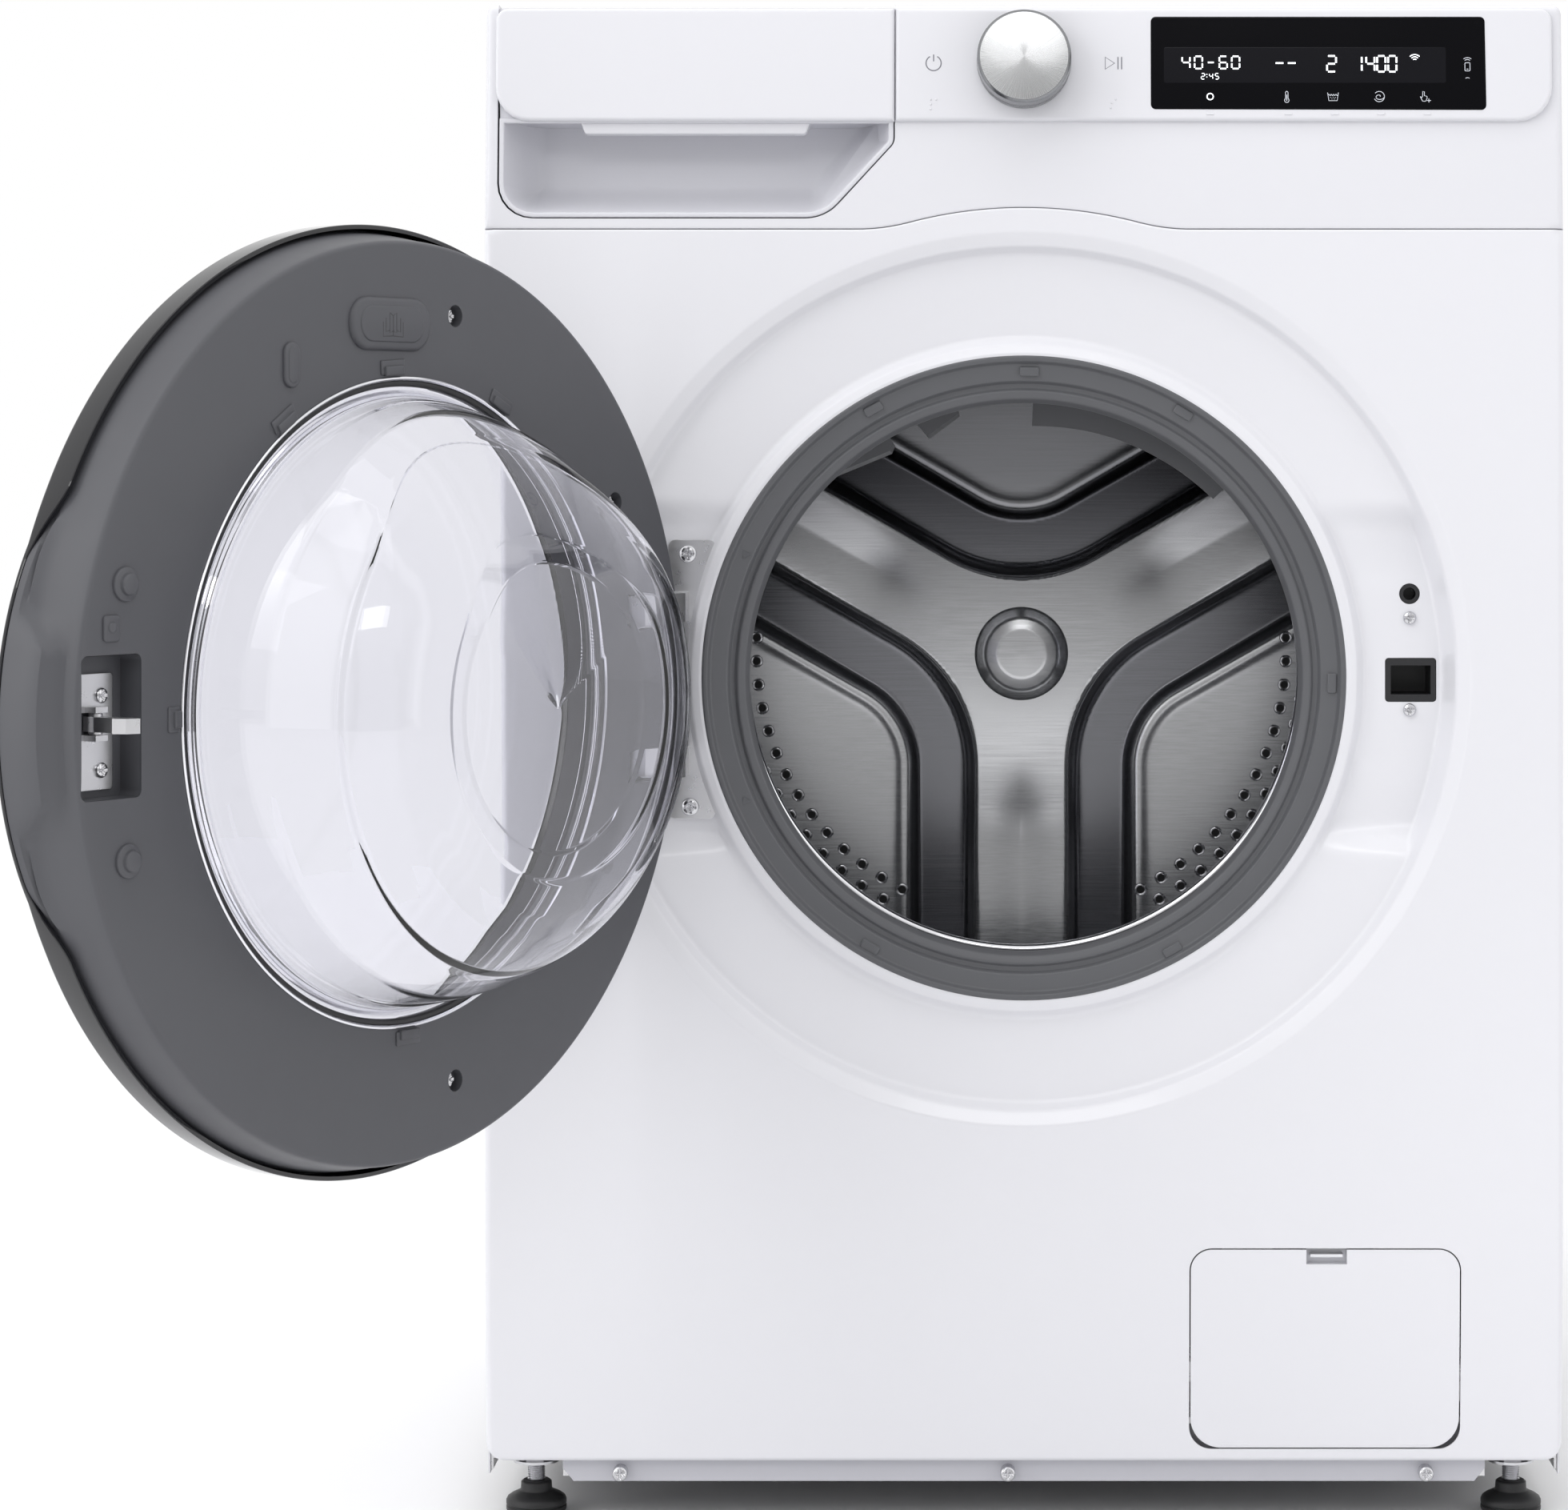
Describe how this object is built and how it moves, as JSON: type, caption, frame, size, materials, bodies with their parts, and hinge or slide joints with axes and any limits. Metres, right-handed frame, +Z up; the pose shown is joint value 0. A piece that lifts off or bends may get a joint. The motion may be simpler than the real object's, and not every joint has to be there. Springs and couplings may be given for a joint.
{
  "type": "front load washing machine",
  "caption": "White front load washing machine with an open glass-bowl door, steel drum, detergent drawer, programme knob and a service hatch.",
  "frame": {"origin": "on the floor under the middle of the cabinet's footprint, level with the soles of the feet", "axes": "+Z up, -Y out of the front, +X to the right seen from the front; the door is stored open, hinged on the left"},
  "size_m": [0.7752, 0.9818, 0.85],
  "materials": {
    "cabinet_white": "white enamel, satin",
    "galvanised": "galvanised sheet",
    "grey_plastic": "moulded grey plastic",
    "worktop_white": "white laminate on chipboard",
    "zinc_screw": "zinc plated",
    "fascia_white": "white moulded plastic, satin gloss",
    "display_black": "black glass",
    "circuit_green": "circuit board",
    "black_plastic": "black moulded plastic",
    "zinc_cast": "bright die cast zinc alloy",
    "seal_rubber": "dark grey rubber",
    "spring_steel": "drawn steel wire",
    "door_black": "black, polished",
    "window_clear": "clear outer window",
    "bowl_clear": "clear moulded bowl",
    "door_grey": "dark grey moulded plastic, fine texture",
    "ring_chrome": "bright trim",
    "knob_metal": "radially brushed",
    "tub_plastic": "glass filled polypropylene",
    "concrete": "cast concrete",
    "drum_steel": "brushed stainless steel",
    "cast_alloy": "sand cast alloy",
    "motor_steel": "dark lacquered laminations",
    "belt_rubber": "ribbed rubber",
    "foot_black": "black moulded foot",
    "zinc_sheet": "zinc plated sheet",
    "kick_grey": "light grey enamel"
  },
  "bodies": {
    "cabinet": {"side_panel_left": "cabinet_white", "side_panel_right": "cabinet_white", "rear_panel": "galvanised", "transit_caps": "grey_plastic", "mains_gland": "grey_plastic", "worktop": "worktop_white", "front_panel": "cabinet_white", "base_frame": "zinc_sheet", "kick_plate": "kick_grey", "cabinet_screws": "zinc_screw", "foot_lock_nuts": "zinc_screw", "console": "fascia_white", "display_window": "display_black", "control_board": "circuit_green", "dispenser_housing": "grey_plastic", "inlet_valve": "grey_plastic", "door_lock": "black_plastic", "hinge_bracket": "zinc_cast", "door_gasket": "seal_rubber", "gasket_clamp": "spring_steel", "damper_cylinders": "grey_plastic", "drain_pump": "grey_plastic", "drain_hose": "belt_rubber"},
    "door": {"door_cover": "door_black", "door_window": "window_clear", "door_frame": "door_grey", "door_bowl": "bowl_clear", "door_glass_ring": "ring_chrome", "door_hinge_block": "zinc_cast", "hinge_pins": "spring_steel", "latch_plate": "zinc_cast", "door_screws": "zinc_screw"},
    "latch": {"latch_hook": "zinc_cast"},
    "drawer": {"drawer_front": "fascia_white", "drawer_tray": "fascia_white"},
    "programme_knob": {"knob": "knob_metal"},
    "tub": {"tub_front": "tub_plastic", "tub_rear": "tub_plastic", "counterweights": "concrete", "heater": "spring_steel", "drum_bearings": "spring_steel", "shaft_seal": "belt_rubber", "damper_rods": "spring_steel", "suspension_springs": "spring_steel", "dispenser_hose": "seal_rubber", "sump_hose": "seal_rubber", "motor_stator": "motor_steel", "drive_belt": "belt_rubber"},
    "drum": {"drum_shell": "drum_steel", "drum_back": "drum_steel", "drum_lifters": "grey_plastic", "drum_spider": "cast_alloy", "drum_pulley": "cast_alloy"},
    "rotor": {"motor_rotor": "motor_steel"},
    "hatch": {"service_hatch": "fascia_white"},
    "filter": {"pump_filter": "grey_plastic"},
    "foot_front_left_body": {"foot_front_left": "foot_black"},
    "foot_front_right_body": {"foot_front_right": "foot_black"},
    "foot_rear_left_body": {"foot_rear_left": "foot_black"},
    "foot_rear_right_body": {"foot_rear_right": "foot_black"}
  },
  "joints": [
    {"name": "door_hinge", "type": "hinge", "parent": "cabinet", "child": "door", "pos_m": [-0.218, -0.2941, 0.474], "axis": [0, 0, -1], "range_deg": [-122.2, 15]},
    {"name": "latch_pivot", "type": "hinge", "parent": "door", "child": "latch", "pos_m": [-0.43171, -0.66649, 0.474], "axis": [0, 0, 1], "range_deg": [0, 5], "stiffness_Nm_per_rad": 0.2},
    {"name": "drawer_slide", "type": "slide", "parent": "cabinet", "child": "drawer", "axis": [0, -1, 0], "range_m": [0, 0.2]},
    {"name": "knob_turn", "type": "hinge", "parent": "cabinet", "child": "programme_knob", "pos_m": [0, -0.2677, 0.81671], "axis": [0, -0.9969, 0.0785], "continuous": true},
    {"name": "hatch_hinge", "type": "hinge", "parent": "cabinet", "child": "hatch", "pos_m": [0.1675, -0.2656, 0.0472], "axis": [1, 0, 0], "range_deg": [0, 80]},
    {"name": "filter_turn", "type": "hinge", "parent": "cabinet", "child": "filter", "pos_m": [0.168, -0.25, 0.101], "axis": [0, -1, 0], "range_deg": [0, 270]},
    {"name": "tub_bounce", "type": "slide", "parent": "cabinet", "child": "tub", "axis": [0, 0, 1], "range_m": [-0.01, 0.01], "stiffness_N_per_m": 8000, "springref_m": 0.0466, "deforming": ["suspension_springs", "dispenser_hose", "sump_hose", "door_gasket"]},
    {"name": "drum_spin", "type": "hinge", "parent": "tub", "child": "drum", "pos_m": [0, 0.06, 0.474], "axis": [0, -1, 0], "continuous": true},
    {"name": "rotor_spin", "type": "hinge", "parent": "tub", "child": "rotor", "pos_m": [0.07, 0.06, 0.125], "axis": [0, -1, 0], "continuous": true},
    {"name": "foot_front_left_screw", "type": "slide", "parent": "cabinet", "child": "foot_front_left_body", "axis": [0, 0, -1], "range_m": [-0.006, 0.015]},
    {"name": "foot_front_right_screw", "type": "slide", "parent": "cabinet", "child": "foot_front_right_body", "axis": [0, 0, -1], "range_m": [-0.006, 0.015]},
    {"name": "foot_rear_left_screw", "type": "slide", "parent": "cabinet", "child": "foot_rear_left_body", "axis": [0, 0, -1], "range_m": [-0.006, 0.015]},
    {"name": "foot_rear_right_screw", "type": "slide", "parent": "cabinet", "child": "foot_rear_right_body", "axis": [0, 0, -1], "range_m": [-0.006, 0.015]}
  ],
  "couplings": [
    {"joint": "rotor_spin", "follows": "drum_spin", "ratio": 11.667}
  ]
}
